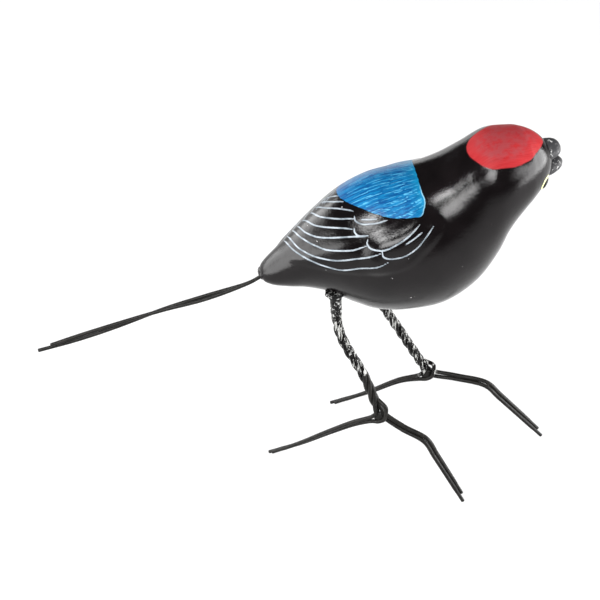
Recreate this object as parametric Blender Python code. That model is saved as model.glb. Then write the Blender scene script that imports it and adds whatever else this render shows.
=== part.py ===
"""Hand-built ceramic songbird standing on legs twisted from iron wire.

The solid clay body carries a short open beak, a blunt tail stub and low wings. Each leg is a
rope of four wires that part at the ankle, two into a front toe and two into a back toe. Two
more wires, loosely twisted, make the long tail.

The bird faces +X with +Z up. Lengths are millimetres and angles degrees, with zero at the
middle of the body; the last step stands the figure on its toes, centred over the origin.
"""

import math

import bpy
import numpy as np
from mathutils import Vector
from mathutils.bvhtree import BVHTree

MM = 0.001

# Clay body, from the stub's end to the tip of the bill. The shapes below are drawn for a bird
# of DRAWN_LENGTH, and BODY_LENGTH scales them.
BODY_LENGTH = 95.9
DRAWN_LENGTH = 95.9
BODY_LEAN = 6.0
BODY_SECTIONS = 40
BODY_SIDES = 24

# Each station from the tail stub to the neck: forward, up, tilt, half height, half width.
BODY_STATIONS = (
    (-44.3, -11.5, 14.0, 1.8, 2.6),
    (-43.4, -11.3, 14.0, 2.9, 3.8),
    (-41.0, -10.6, 14.0, 4.6, 5.4),
    (-36.7, -8.8, 14.0, 6.9, 7.4),
    (-31.9, -6.4, 13.0, 9.6, 9.5),
    (-25.5, -3.9, 10.0, 13.5, 12.9),
    (-17.6, -2.4, 6.0, 18.9, 17.2),
    (-9.0, -1.7, 3.0, 22.6, 20.6),
    (0.0, -1.1, 5.0, 23.8, 22.0),
    (9.4, 0.6, 11.0, 23.8, 21.9),
    (17.6, 5.8, 18.0, 22.2, 20.0),
    (24.0, 13.3, 20.0, 19.6, 17.5),
    (28.9, 20.0, 14.0, 17.4, 15.9),
)

# Head, a ball drawn out forward. It turns about its own centre.
HEAD_CENTRE = (31.6, 26.1)
HEAD_RADIUS = 11.9
HEAD_FRONT = 14.2
HEAD_WIDTH_SHARE = 1.0
HEAD_PITCH = 0.0
HEAD_YAW = 11.0
HEAD_ROLL = 8.0
HEAD_STEPS = (0.18, 0.4, 0.6, 0.76, 0.88, 0.95, 0.99)
THROAT_DROP = 4.8
THROAT_WIDTH_SHARE = 0.5

# Bill, two lobes of clay that start inside the face. Forward and up are from the head's centre:
# start, then tip, then half width and half thickness at the face.
BILL_ROLL = 8.0
UPPER_BILL = {"start": (9.5, 2.9), "tip": (16.9, 4.1), "width": 4.0, "thickness": 2.4}
LOWER_BILL = {"start": (7.0, -7.5), "tip": (20.0, -4.9), "width": 4.1, "thickness": 2.8}
BILL_STEPS = ((0.0, 1.1), (0.45, 1.0), (0.7, 0.88), (0.85, 0.72), (0.94, 0.52), (1.0, 0.2))
BILL_SIDES = 14

# Folded wings, raised a little from the flanks. Front and rear are forward of the middle, top
# and bottom are angles round the body from its side.
WING_RAISE = 0.7
WING_FRONT = 9.0
WING_REAR = -42.0
WING_TOP = 62.0
WING_BOTTOM = -8.0
WING_EDGE = 4.0
WING_EDGE_ANGLE = 8.0

# Wire, and the rope of strands that makes a leg. The lay is the length of one full turn.
WIRE_DIAMETER = 1.25
STRANDS = 4
STRAND_GAP = 0.1
LAY = 20.0
SOCKET_DEPTH = 5.0
SOCKET_CLEARANCE = 0.3
SOCKET_SIDES = 20

# Height of the body's middle above the ground.
STANCE_HEIGHT = 92.0

# Each leg: where it enters the belly, the points down to the ankle, and the foot's heading.
# Toe points are distance along the heading and drop, both from the ankle.
LEGS = {
    "right": {
        "root": (-22.0, -9.0),
        "shank": ((-20.7, -11.1, -28.5), (-12.7, -14.2, -46.0)),
        "ankle": (-7.5, -16.7, -60.9),
        "heading": -26.5,
        "front_toe": ((7.9, 4.5), (15.9, 7.6), (19.9, 13.5), (30.7, None)),
        "back_toe": ((-8.6, 6.3), (-17.5, 13.3), (-28.0, 22.0), (-39.8, None)),
    },
    "left": {
        "root": (-9.2, 9.7),
        "shank": ((-5.4, 10.2, -31.0), (3.7, 10.7, -48.5)),
        "ankle": (14.7, 11.3, -69.4),
        "heading": -19.9,
        "front_toe": ((9.9, 1.3), (20.8, 2.5), (25.9, 7.0), (42.1, None)),
        "back_toe": ((-9.4, 5.5), (-21.0, 13.7), (-34.6, None)),
    },
}

# Each toe's two wires lie one above the other at the ankle and side by side at the tip, where
# one is shorter by the step.
TOE_GAP = 0.2
TOE_TWIST_AT_ANKLE = 90.0
TOE_TWIST_AT_TIP = {"front_toe": 12.0, "back_toe": 160.0}
TOE_TIP_STEP = 2.4

# How the strands turn out of the rope. The phase is their place round it at the phase height
# above the ankle, from the front towards the left, and the lead is how far above the ankle
# they leave it. The turns are forward and up from the ankle in wire diameters.
PHASE_HEIGHT = 2.2
ANKLE_STRANDS = (
    {"toe": "front_toe", "lane": 1.0, "lead": 2.2, "phase": 45.0, "turns": ((1.0, 0.15),)},
    {
        "toe": "front_toe",
        "lane": -1.0,
        "lead": 2.2,
        "phase": 135.0,
        "turns": ((-0.6, -0.4), (0.9, -1.6)),
    },
    {
        "toe": "back_toe",
        "lane": 1.0,
        "lead": 2.2,
        "phase": -135.0,
        "turns": ((-1.0, 0.4), (-1.9, -1.0)),
    },
    {
        "toe": "back_toe",
        "lane": -1.0,
        "lead": 6.0,
        "phase": -45.0,
        "turns": ((1.6, 3.2), (1.75, 1.1), (1.4, -1.1), (-0.2, -2.4), (-1.8, -2.7)),
    },
)

# Lines are worked out finely: points from one knot to the next, and along a whole rope. A toe's
# line starts in the direction that the rope has this many points before its end.
KNOT_POINTS = 14
ROPE_POINTS = 220
ROPE_LEAD_POINTS = 10

# They then keep a point at least this often: degrees turned, or millimetres run.
WIRE_TURN = 18.0
WIRE_STEP = 4.5

# Tail: centre line forward and up from the stub's end, and the twist of the pair there. The
# two wires run side by side and clear each other by the gap.
TAIL_LINE = (
    (0.4, -1.1, -48.0),
    (-5.2, -4.4, -40.0),
    (-18.2, -8.8, 0.0),
    (-31.9, -12.6, -34.0),
    (-47.6, -18.0, -85.0),
    (-59.2, -21.8, -98.0),
    (-73.2, -26.1, -57.0),
)
TAIL_GAP = 0.3
TAIL_SHORTER = 4.2

GLAZE = {"colour": (0.014, 0.011, 0.012, 1.0), "roughness": 0.22, "metallic": 0.0}
IRON = {"colour": (0.022, 0.022, 0.019, 1.0), "roughness": 0.42, "metallic": 0.6}

WIRE_RADIUS = WIRE_DIAMETER / 2
BODY_SCALE = BODY_LENGTH / DRAWN_LENGTH


def clear_scene():
    for old in list(bpy.data.objects):
        bpy.data.objects.remove(old)


def material(name, look):
    made = bpy.data.materials.new(name)
    made.use_nodes = True
    shader = made.node_tree.nodes["Principled BSDF"]
    shader.inputs["Base Color"].default_value = look["colour"]
    shader.inputs["Roughness"].default_value = look["roughness"]
    shader.inputs["Metallic"].default_value = look["metallic"]
    return made


def smooth_through(rows, places):
    """Values on a smooth curve through the rows, at places counted in rows from the first."""
    rows = np.asarray(rows, float)
    before = np.vstack((2 * rows[0] - rows[1], rows, 2 * rows[-1] - rows[-2]))
    found = []
    for place in places:
        start = min(int(place), len(rows) - 2)
        t = place - start
        a, b, c, d = before[start : start + 4]
        found.append(
            b + 0.5 * t * (c - a + t * (2 * a - 5 * b + 4 * c - d + t * (3 * (b - c) + d - a)))
        )
    return np.array(found)


def even_points(points, count):
    """The same line, with count points at equal steps along it."""
    points = np.asarray(points, float)
    steps = np.linalg.norm(np.diff(points, axis=0), axis=1)
    along = np.concatenate(([0.0], np.cumsum(steps)))
    wanted = np.linspace(0.0, along[-1], count)
    return np.column_stack([np.interp(wanted, along, points[:, i]) for i in range(3)])


def flowing(points, per_span):
    """A dense smooth line through points that may be unevenly spaced."""
    ends = np.vstack((2 * points[0] - points[1], points, 2 * points[-1] - points[-2]))
    line = []
    for first in range(len(points) - 1):
        p = ends[first : first + 4]
        gaps = np.sqrt(np.linalg.norm(np.diff(p, axis=0), axis=1))
        t = np.concatenate(([0.0], np.cumsum(gaps)))
        for u in np.linspace(t[1], t[2], per_span, endpoint=False):
            a = [((t[k + 1] - u) * p[k] + (u - t[k]) * p[k + 1]) / gaps[k] for k in range(3)]
            b = []
            for k in (0, 1):
                b.append(((t[k + 2] - u) * a[k] + (u - t[k]) * a[k + 1]) / (t[k + 2] - t[k]))
            line.append(((t[2] - u) * b[0] + (u - t[1]) * b[1]) / gaps[1])
    line.append(points[-1])
    return np.array(line)


def thinned(points):
    """The line with only the points that its bends need."""
    ahead = np.diff(points, axis=0)
    lengths = np.linalg.norm(ahead, axis=1)
    ahead /= lengths[:, None]
    kept, turned, run = [points[0]], 0.0, 0.0
    for i in range(1, len(points) - 1):
        turned += math.degrees(math.acos(min(1.0, float(ahead[i - 1] @ ahead[i]))))
        run += lengths[i - 1]
        if turned + run / WIRE_STEP * WIRE_TURN >= WIRE_TURN:
            kept.append(points[i])
            turned, run = 0.0, 0.0
    kept.append(points[-1])
    return np.array(kept)


def unit(vector):
    return np.asarray(vector, float) / np.linalg.norm(vector)


def turn(axis, degrees):
    """Rotation matrix about one of the axes x, y or z."""
    c, s = math.cos(math.radians(degrees)), math.sin(math.radians(degrees))
    if axis == "x":
        return np.array(((1, 0, 0), (0, c, -s), (0, s, c)))
    if axis == "y":
        return np.array(((c, 0, s), (0, 1, 0), (-s, 0, c)))
    return np.array(((c, -s, 0), (s, c, 0), (0, 0, 1)))


LEAN = turn("x", BODY_LEAN)


def head_axes():
    """Forward, left and up of the head, before the body's lean."""
    return turn("z", HEAD_YAW) @ turn("y", -HEAD_PITCH) @ turn("x", HEAD_ROLL)


def head_middle():
    return np.array((HEAD_CENTRE[0], 0.0, HEAD_CENTRE[1]))


def head_stations():
    """Sections of the ball's front half; the throat hangs below the rear ones."""
    rows = []
    for step in HEAD_STEPS:
        across = HEAD_RADIUS * math.sqrt(1.0 - step * step)
        throat = THROAT_DROP * (1.0 - step) ** 2
        wide = across * HEAD_WIDTH_SHARE + throat * THROAT_WIDTH_SHARE
        rows.append((step * HEAD_FRONT, -throat, across + throat, wide))
    return rows


def body_rings():
    """Centre, three axes, half height and half width of every section, tail to beak."""
    centres, fronts, lefts, sizes = [], [], [], []
    for forward, up, tilt, high, wide in BODY_STATIONS:
        centres.append((forward, 0.0, up))
        axes = turn("y", -tilt)
        fronts.append(axes[:, 0])
        lefts.append(axes[:, 1])
        sizes.append((high, wide))
    axes = head_axes()
    for along, up, high, wide in head_stations():
        centres.append(head_middle() + axes @ (along, 0.0, up))
        fronts.append(axes[:, 0])
        lefts.append(axes[:, 1])
        sizes.append((high, wide))
    rows = np.hstack((centres, fronts, lefts, sizes))
    return smooth_through(rows, np.linspace(0.0, len(rows) - 1.0, BODY_SECTIONS))


def ease(value):
    value = min(max(value, 0.0), 1.0)
    return value * value * (3.0 - 2.0 * value)


def wing_raise(forward, angle):
    """How far the folded wing stands out at this place; the angle is 90 on the back."""
    side = angle if angle <= 90.0 else 180.0 - angle
    if side < -90.0:
        side = -180.0 - side
    lengthwise = ease((WING_FRONT - forward) / WING_EDGE) * ease((forward - WING_REAR) / WING_EDGE)
    top, bottom = (WING_TOP - side) / WING_EDGE_ANGLE, (side - WING_BOTTOM) / WING_EDGE_ANGLE
    return WING_RAISE * lengthwise * ease(top) * ease(bottom)


def body_mesh():
    points, faces = [], []
    for row in body_rings():
        centre, front, left, (high, wide) = row[:3], unit(row[3:6]), row[6:9], row[9:]
        left = unit(left - front * (left @ front))
        up = np.cross(front, left)
        for side in range(BODY_SIDES):
            angle = 360.0 * side / BODY_SIDES
            across, rise = math.cos(math.radians(angle)), math.sin(math.radians(angle))
            signed = angle if angle <= 270.0 else angle - 360.0
            out = wing_raise(centre[0], signed)
            spot = centre + left * across * (wide + out) + up * rise * (high + out)
            points.append(LEAN @ (spot * BODY_SCALE))
    for ring in range(BODY_SECTIONS - 1):
        for side in range(BODY_SIDES):
            here, beside = ring * BODY_SIDES + side, ring * BODY_SIDES + (side + 1) % BODY_SIDES
            faces.append((here, here + BODY_SIDES, beside + BODY_SIDES, beside))
    faces.append(tuple(range(BODY_SIDES)))
    last = (BODY_SECTIONS - 1) * BODY_SIDES
    faces.append(tuple(last + side for side in reversed(range(BODY_SIDES))))
    return points, faces


def mesh_object(name, points, faces):
    mesh = bpy.data.meshes.new(name)
    mesh.from_pydata([tuple(MM * value for value in point) for point in points], [], faces)
    mesh.update()
    made = bpy.data.objects.new(name, mesh)
    bpy.context.scene.collection.objects.link(made)
    return made


def combine(target, helper, operation):
    """Joins the helper's shape to the target, or cuts it away."""
    helper.hide_render = True
    helper.display_type = "WIRE"
    modifier = target.modifiers.new(helper.name, "BOOLEAN")
    modifier.operation = operation
    modifier.object = helper


def rod(name, start, end, radius):
    """A closed round bar between two points."""
    along = unit(end - start)
    across = unit(np.cross(along, (0.0, 1.0, 0.0)))
    other = np.cross(along, across)
    points = []
    for middle in (start, end):
        for side in range(SOCKET_SIDES):
            angle = 2.0 * math.pi * side / SOCKET_SIDES
            points.append(middle + radius * (across * math.cos(angle) + other * math.sin(angle)))
    faces = [tuple(reversed(range(SOCKET_SIDES)))]
    faces.append(tuple(range(SOCKET_SIDES, 2 * SOCKET_SIDES)))
    for side in range(SOCKET_SIDES):
        beside = (side + 1) % SOCKET_SIDES
        faces.append((side, beside, beside + SOCKET_SIDES, side + SOCKET_SIDES))
    return mesh_object(name, points, faces)


def bill_lobe(name, lobe):
    """One half of the bill, a flattened finger with a round end."""
    axes = head_axes() @ turn("x", BILL_ROLL)
    start, tip = np.array(lobe["start"]), np.array(lobe["tip"])
    points, faces = [], []
    for share, size in BILL_STEPS:
        forward, up = start + share * (tip - start)
        for side in range(BILL_SIDES):
            angle = 2.0 * math.pi * side / BILL_SIDES
            local = (
                forward,
                math.cos(angle) * size * lobe["width"],
                up + math.sin(angle) * size * lobe["thickness"],
            )
            points.append(LEAN @ ((head_middle() + axes @ local) * BODY_SCALE))
    last = (len(BILL_STEPS) - 1) * BILL_SIDES
    faces.append(tuple(range(BILL_SIDES)))
    faces.append(tuple(last + side for side in reversed(range(BILL_SIDES))))
    for first in range(0, last, BILL_SIDES):
        for side in range(BILL_SIDES):
            beside = (side + 1) % BILL_SIDES
            ring = (side, side + BILL_SIDES, beside + BILL_SIDES, beside)
            faces.append(tuple(first + corner for corner in ring))
    return mesh_object(name, points, faces)


def belly_height(body, forward, left):
    """Height of the body's underside at this place."""
    tree = BVHTree.FromObject(body, bpy.context.evaluated_depsgraph_get())
    below = Vector((forward * MM, left * MM, -STANCE_HEIGHT * MM))
    hit = tree.ray_cast(below, Vector((0.0, 0.0, 1.0)))[0]
    return hit.z / MM


def bundle_radius():
    """Distance of a strand's middle from the leg's, so that neighbours just clear each other."""
    spread = (WIRE_DIAMETER + STRAND_GAP) / (2.0 * math.sin(math.pi / STRANDS))
    return spread / math.sqrt(1.0 - (2.0 * math.pi * spread / LAY) ** 2)


def carried_frames(points, last_across):
    """A direction across the line at every point, carried back from the last one unturned."""
    ahead = np.gradient(points, axis=0)
    ahead /= np.linalg.norm(ahead, axis=1)[:, None]
    across = np.zeros_like(points)
    kept = np.asarray(last_across, float)
    for i in reversed(range(len(points))):
        kept = unit(kept - ahead[i] * (kept @ ahead[i]))
        across[i] = kept
    return ahead, across


def leg_line(leg, belly):
    """Centre line of the leg's rope from the bottom of its socket to the ankle."""
    mouth = np.array((leg["root"][0], leg["root"][1], belly))
    into = unit(mouth - np.array(leg["shank"][0]))
    inner = mouth + into * (SOCKET_DEPTH - SOCKET_CLEARANCE)
    knots = np.array((inner, mouth, *leg["shank"], leg["ankle"]))
    return even_points(flowing(knots, KNOT_POINTS), ROPE_POINTS), mouth, into


def toe_line(leg, strand):
    """Points of one wire of a toe, from beside the ankle to its tip on the ground."""
    heading = turn("z", leg["heading"])
    ahead, left, up = heading[:, 0], heading[:, 1], heading[:, 2]
    ankle = np.array(leg["ankle"])
    rows = np.array([(along, drop or 0.0) for along, drop in leg[strand["toe"]]])
    to_ground = ankle[2] + STANCE_HEIGHT
    last_run = unit((abs(rows[-1, 0] - rows[-2, 0]), to_ground - rows[-2, 1]))
    rows[-1, 1] = to_ground - WIRE_RADIUS * last_run[0]
    slopes = np.gradient(np.vstack(((0.0, 0.0), rows)), axis=0)[1:]
    aside = 1.0 if strand["toe"] == "front_toe" else -1.0
    half = strand["lane"] * (WIRE_DIAMETER + TOE_GAP) / 2
    tip_twist = TOE_TWIST_AT_TIP[strand["toe"]]
    points = []
    for i, (along, drop) in enumerate(rows):
        share = (i + 1) / len(rows)
        twist = TOE_TWIST_AT_ANKLE + share * (tip_twist - TOE_TWIST_AT_ANKLE)
        run, fall = unit(slopes[i])
        above = (ahead * fall + up * run) * (1.0 if run > 0.0 else -1.0)
        offset = left * math.cos(math.radians(twist)) + above * math.sin(math.radians(twist))
        beside = left * aside * (1.0 - share) * bundle_radius() / math.sqrt(2.0)
        points.append(ankle + ahead * along - up * drop + offset * half + beside)
    if strand["lane"] > 0.0:
        points[-1] -= unit(points[-1] - points[-2]) * TOE_TIP_STEP
    else:
        points[-1][2] = WIRE_RADIUS * last_run[0] - STANCE_HEIGHT
    return points


def strand_lines(leg, belly):
    """Centre lines of the four wires of a leg, from the socket to the tips of its toes."""
    line, mouth, into = leg_line(leg, belly)
    steps = np.linalg.norm(np.diff(line, axis=0), axis=1)
    to_ankle = np.concatenate(([0.0], np.cumsum(steps[::-1])))[::-1]
    heading = turn("z", leg["heading"])
    ahead, front = carried_frames(line, heading[:, 0])
    left = np.cross(front, ahead)
    radius = bundle_radius()
    made = []
    for strand in ANKLE_STRANDS:
        rope = []
        for i in np.flatnonzero(to_ankle >= strand["lead"]):
            turned = 360.0 * (to_ankle[i] - PHASE_HEIGHT) / LAY
            angle = math.radians(strand["phase"] + turned)
            across = front[i] * math.cos(angle) + left[i] * math.sin(angle)
            rope.append(line[i] + radius * across)
        aside = radius / math.sqrt(2.0) * (1.0 if strand["toe"] == "front_toe" else -1.0)
        turns = []
        for forward, up in strand["turns"]:
            local = (forward * WIRE_DIAMETER, aside, up * WIRE_DIAMETER)
            turns.append(np.array(leg["ankle"]) + heading @ local)
        knots = np.array([rope[-ROPE_LEAD_POINTS], rope[-1], *turns, *toe_line(leg, strand)])
        foot = flowing(knots, KNOT_POINTS)[KNOT_POINTS:]
        made.append(thinned(np.vstack((rope[:-1], foot))))
    return made, mouth, into


def wire_object(name, points, look):
    """One wire: a curve through the points with a round section and closed ends."""
    curve = bpy.data.curves.new(name, "CURVE")
    curve.dimensions = "3D"
    curve.bevel_depth = WIRE_RADIUS * MM
    curve.bevel_resolution = 1
    curve.use_fill_caps = True
    spline = curve.splines.new("POLY")
    spline.points.add(len(points) - 1)
    for knot, point in zip(spline.points, points):
        knot.co = (point[0] * MM, point[1] * MM, point[2] * MM, 1.0)
    curve.materials.append(look)
    made = bpy.data.objects.new(name, curve)
    bpy.context.scene.collection.objects.link(made)
    return made


def tail_lines():
    """Centre lines of the two tail wires, which turn about each other as their twist says."""
    stub = [value * BODY_SCALE for value in BODY_STATIONS[0][:2]]
    rows = [np.array((stub[0] + x, 0.0, stub[1] + z)) for x, z, _ in TAIL_LINE]
    into = unit(rows[0] - rows[1])
    inner = rows[0] + into * (SOCKET_DEPTH - SOCKET_CLEARANCE)
    rows = np.vstack((inner, rows))
    twists = [TAIL_LINE[0][2]] + [row[2] for row in TAIL_LINE]
    places = np.linspace(0.0, len(rows) - 1.0, ROPE_POINTS)
    table = smooth_through(np.column_stack((rows, twists)), places)
    line = table[:, :3]
    steps = np.linalg.norm(np.diff(line, axis=0), axis=1)
    along = np.concatenate(([0.0], np.cumsum(steps)))
    half = (WIRE_DIAMETER + TAIL_GAP) / 2
    made = []
    for side in (1.0, -1.0):
        points = []
        for i, spot in enumerate(line):
            angle = math.radians(table[i, 3])
            offset = np.array((0.0, math.cos(angle), math.sin(angle))) * half
            points.append(LEAN @ (spot + side * offset))
        end = along[-1] - (TAIL_SHORTER if side < 0.0 else 0.0)
        kept = [point for point, reach in zip(points, along) if reach <= end]
        made.append(thinned(np.array(kept)))
    return made


def bird_body(look):
    body = mesh_object("ceramic_body", *body_mesh())
    body.data.materials.append(look)
    body.data.shade_smooth()
    combine(body, bill_lobe("upper_bill", UPPER_BILL), "UNION")
    combine(body, bill_lobe("lower_bill", LOWER_BILL), "UNION")
    return body


def leg_wires(body, side, look):
    """One leg's four wires, and the socket they stand in."""
    leg = LEGS[side]
    belly = belly_height(body, *leg["root"])
    lines, mouth, into = strand_lines(leg, belly)
    bore = bundle_radius() + WIRE_RADIUS + SOCKET_CLEARANCE
    outside = mouth - into * SOCKET_DEPTH
    socket = rod(f"{side}_leg_socket", outside, mouth + into * SOCKET_DEPTH, bore)
    wires = []
    for number, line in enumerate(lines, 1):
        wires.append(wire_object(f"{side}_leg_wire_{number}", line, look))
    return wires, socket


def tail_wires(look):
    """The two tail wires, and the holes they sit in."""
    wires, sockets = [], []
    for name, line in zip(("longer", "shorter"), tail_lines()):
        wires.append(wire_object(f"tail_wire_{name}", line, look))
        into = unit(line[0] - line[2])
        inner = line[0] + into * SOCKET_CLEARANCE
        outside = inner - into * 2.0 * SOCKET_DEPTH
        bore = WIRE_RADIUS + SOCKET_CLEARANCE
        sockets.append(rod(f"tail_{name}_socket", outside, inner, bore))
    return wires, sockets


def stand_on_ground(pieces):
    """Hangs every piece on one empty, which centres the figure over the origin."""
    stand = bpy.data.objects.new("bird", None)
    bpy.context.scene.collection.objects.link(stand)
    bpy.context.view_layer.update()
    graph = bpy.context.evaluated_depsgraph_get()
    corners = []
    for piece in pieces:
        if piece.hide_render:
            continue
        shape = piece.evaluated_get(graph)
        mesh = shape.to_mesh()
        flat = np.empty(len(mesh.vertices) * 3, np.float32)
        mesh.vertices.foreach_get("co", flat)
        corners.append(flat.reshape(-1, 3))
        shape.to_mesh_clear()
    spots = np.vstack(corners)
    low, high = spots.min(axis=0), spots.max(axis=0)
    for piece in pieces:
        piece.parent = stand
    stand.location = (-(low[0] + high[0]) / 2, -(low[1] + high[1]) / 2, -low[2])


def main():
    clear_scene()
    glaze = material("black_glaze", GLAZE)
    iron = material("iron_wire", IRON)
    body = bird_body(glaze)
    pieces = [body] + [modifier.object for modifier in body.modifiers]
    sockets = []
    for side in LEGS:
        wires, socket = leg_wires(body, side, iron)
        pieces += wires
        sockets.append(socket)
    wires, holes = tail_wires(iron)
    pieces += wires
    for socket in sockets + holes:
        combine(body, socket, "DIFFERENCE")
        pieces.append(socket)
    stand_on_ground(pieces)


main()
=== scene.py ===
"""Looks of a hand-painted ceramic songbird on legs of twisted iron wire.

The clay body is lofted again from the same sizes as the solid, finely enough to carry the
paint: a red crown, a blue mantle, pale lines on the folded wings and a ringed eye. Each stroke
is a line on the body's surface, and the mesh keeps every point's distance to it, from which the
materials take their colours. The wires follow the same lines as the solids, with round sections.

Lengths are millimetres in a frame with zero at the middle of the body, and STAND moves them to
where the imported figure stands. Angles are degrees.
"""

import math

import bpy
import numpy as np
from mathutils import Matrix, Vector, noise
from mathutils.kdtree import KDTree


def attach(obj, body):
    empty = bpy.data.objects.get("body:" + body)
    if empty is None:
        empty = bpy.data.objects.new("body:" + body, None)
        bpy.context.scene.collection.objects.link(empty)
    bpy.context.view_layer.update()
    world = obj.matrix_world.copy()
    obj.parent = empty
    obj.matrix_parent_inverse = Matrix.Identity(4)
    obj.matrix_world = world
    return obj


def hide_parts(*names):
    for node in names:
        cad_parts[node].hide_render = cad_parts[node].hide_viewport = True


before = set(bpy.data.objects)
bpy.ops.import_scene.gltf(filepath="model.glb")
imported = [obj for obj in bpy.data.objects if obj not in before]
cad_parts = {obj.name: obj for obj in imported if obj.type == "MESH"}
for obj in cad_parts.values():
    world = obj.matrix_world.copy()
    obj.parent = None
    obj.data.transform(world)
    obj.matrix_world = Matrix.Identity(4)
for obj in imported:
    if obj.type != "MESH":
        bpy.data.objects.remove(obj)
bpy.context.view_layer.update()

MM = 0.001
STAND = np.array((31.644, 3.670, 92.018))

# Sizes shared with the solid

BODY_LEAN = 6.0

# Each station from the tail stub to the neck: forward, up, tilt, half height, half width.
BODY_STATIONS = (
    (-44.3, -11.5, 14.0, 1.8, 2.6),
    (-43.4, -11.3, 14.0, 2.9, 3.8),
    (-41.0, -10.6, 14.0, 4.6, 5.4),
    (-36.7, -8.8, 14.0, 6.9, 7.4),
    (-31.9, -6.4, 13.0, 9.6, 9.5),
    (-25.5, -3.9, 10.0, 13.5, 12.9),
    (-17.6, -2.4, 6.0, 18.9, 17.2),
    (-9.0, -1.7, 3.0, 22.6, 20.6),
    (0.0, -1.1, 5.0, 23.8, 22.0),
    (9.4, 0.6, 11.0, 23.8, 21.9),
    (17.6, 5.8, 18.0, 22.2, 20.0),
    (24.0, 13.3, 20.0, 19.6, 17.5),
    (28.9, 20.0, 14.0, 17.4, 15.9),
)

# The head is an egg, turned to the left and rolled, with a throat that sinks into the neck.
HEAD_CENTRE = (31.6, 26.1)
HEAD_RADIUS = 11.9
HEAD_FRONT = 14.2
HEAD_YAW = 11.0
HEAD_ROLL = 8.0
HEAD_STEPS = (0.18, 0.4, 0.6, 0.76, 0.88, 0.95, 0.99)
THROAT_DROP = 4.8
THROAT_WIDTH_SHARE = 0.5

# The bill's two lobes, from the head's middle: forward and up, half width, half thickness.
BILL_ROLL = 8.0
UPPER_BILL = {"start": (9.5, 2.9), "tip": (16.9, 4.1), "width": 4.0, "thickness": 2.4}
LOWER_BILL = {"start": (7.0, -7.5), "tip": (20.0, -4.9), "width": 4.1, "thickness": 2.8}
BILL_STEPS = ((0.0, 1.1), (0.45, 1.0), (0.7, 0.88), (0.85, 0.72), (0.94, 0.52), (1.0, 0.2))

WIRE_RADIUS = 0.625
STRANDS = 4
STRAND_GAP = 0.1
LAY = 20.0
SOCKET_REACH = 4.7
STANCE_HEIGHT = 92.0

# Each leg: where it enters the belly, the points down to the ankle, and the foot's heading.
# Toe points are distance along the heading and drop, both from the ankle.
LEGS = {
    "right": {
        "root": (-22.0, -9.0),
        "shank": ((-20.7, -11.1, -28.5), (-12.7, -14.2, -46.0)),
        "ankle": (-7.5, -16.7, -60.9),
        "heading": -26.5,
        "front_toe": ((7.9, 4.5), (15.9, 7.6), (19.9, 13.5), (30.7, None)),
        "back_toe": ((-8.6, 6.3), (-17.5, 13.3), (-28.0, 22.0), (-39.8, None)),
    },
    "left": {
        "root": (-9.2, 9.7),
        "shank": ((-5.4, 10.2, -31.0), (3.7, 10.7, -48.5)),
        "ankle": (14.7, 11.3, -69.4),
        "heading": -19.9,
        "front_toe": ((9.9, 1.3), (20.8, 2.5), (25.9, 7.0), (42.1, None)),
        "back_toe": ((-9.4, 5.5), (-21.0, 13.7), (-34.6, None)),
    },
}

# A toe's two wires lie one above the other at the ankle and side by side at the tip, where one
# is shorter by the step.
TOE_GAP = 0.2
TOE_TWIST_AT_ANKLE = 90.0
TOE_TWIST_AT_TIP = {"front_toe": 12.0, "back_toe": 160.0}
TOE_TIP_STEP = 2.4

# How the strands turn out of the rope. The phase is their place round it at the phase height,
# and the lead is how far above the ankle they leave it. The turns are forward and up from the
# ankle in wire diameters.
PHASE_HEIGHT = 2.2
ANKLE_STRANDS = (
    {"toe": "front_toe", "lane": 1.0, "lead": 2.2, "phase": 45.0, "turns": ((1.0, 0.15),)},
    {
        "toe": "front_toe",
        "lane": -1.0,
        "lead": 2.2,
        "phase": 135.0,
        "turns": ((-0.6, -0.4), (0.9, -1.6)),
    },
    {
        "toe": "back_toe",
        "lane": 1.0,
        "lead": 2.2,
        "phase": -135.0,
        "turns": ((-1.0, 0.4), (-1.9, -1.0)),
    },
    {
        "toe": "back_toe",
        "lane": -1.0,
        "lead": 6.0,
        "phase": -45.0,
        "turns": ((1.6, 3.2), (1.75, 1.1), (1.4, -1.1), (-0.2, -2.4), (-1.8, -2.7)),
    },
)

# Lines are worked out finely: points from one knot to the next, and along a whole rope.
KNOT_POINTS = 30
ROPE_POINTS = 420
ROPE_LEAD_POINTS = 19
TAIL_POINTS = 400

# Tail: centre line forward and up from the stub's end, and the twist of the pair there.
TAIL_LINE = (
    (0.4, -1.1, -48.0),
    (-5.2, -4.4, -40.0),
    (-18.2, -8.8, 0.0),
    (-31.9, -12.6, -34.0),
    (-47.6, -18.0, -85.0),
    (-59.2, -21.8, -98.0),
    (-73.2, -26.1, -57.0),
)
TAIL_GAP = 0.3
TAIL_SHORTER = 4.2

# Finer sizes of the looks

BODY_RINGS = 300
BODY_SIDES = 288
FINE_POINTS = 4000
LINE_STEP = 0.09

# A line on the clay is smoothed with each section counted as this many degrees.
SECTION_DEGREES = 6.0

# Most of the mesh lies where the paint is: this many sides between these angles round the body.
PAINTED_SIDES = 244
PAINTED_SPAN = (-26.0, 206.0)

# The mesh lies this far inside the solid's surface.
SKIN = 0.06
STUB_ROUNDING = (0.96, 0.85, 0.62, 0.3)
STUB_REACH = 1.0
FACE_BULGE = 0.08
BILL_SIDES = 48
BILL_RINGS = 30
BILL_CROWDING = 1.7

# The underside is looked for between these sections, at this many places and angles.
BELLY_SECTIONS = (2.0, 12.0)
BELLY_PLACES = 400
BELLY_ANGLES = 180
BELLY_NEAREST = 6

WIRE_SIDES = 14
WIRE_STEP = 0.42
WIRE_ACROSS = (0.3, 0.9, 0.2)
WIRE_END_EDGE = 0.08
WIRE_END_SHARE = 0.8
WIRE_THINNING = 0.03
WIRE_LUMP_SCALE = 0.7

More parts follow.
